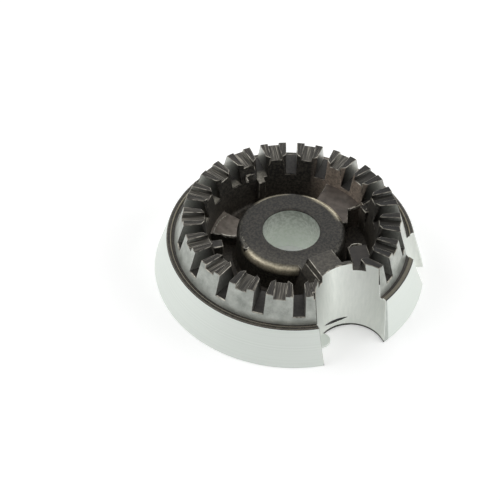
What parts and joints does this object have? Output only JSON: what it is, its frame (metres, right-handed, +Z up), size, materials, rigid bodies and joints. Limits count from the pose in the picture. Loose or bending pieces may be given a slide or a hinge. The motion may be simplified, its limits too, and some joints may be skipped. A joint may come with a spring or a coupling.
{
  "type": "gas burner body",
  "caption": "Round cast burner body with a toothed crown of flame ports, an open gas channel, a central mixing bore and two side notches.",
  "frame": {"origin": "middle of the flat base, on the burner axis", "axes": "+Z up along the burner axis from the base to the crown, electrode notch towards +X -Y at 45 degrees, thermocouple notch beside +X"},
  "size_m": [0.055, 0.055, 0.0143],
  "materials": {
    "cast_aluminium": "as cast and darkened inside, fine turned outside"
  },
  "bodies": {
    "root": {"burner_body": "cast_aluminium"}
  },
  "joints": []
}
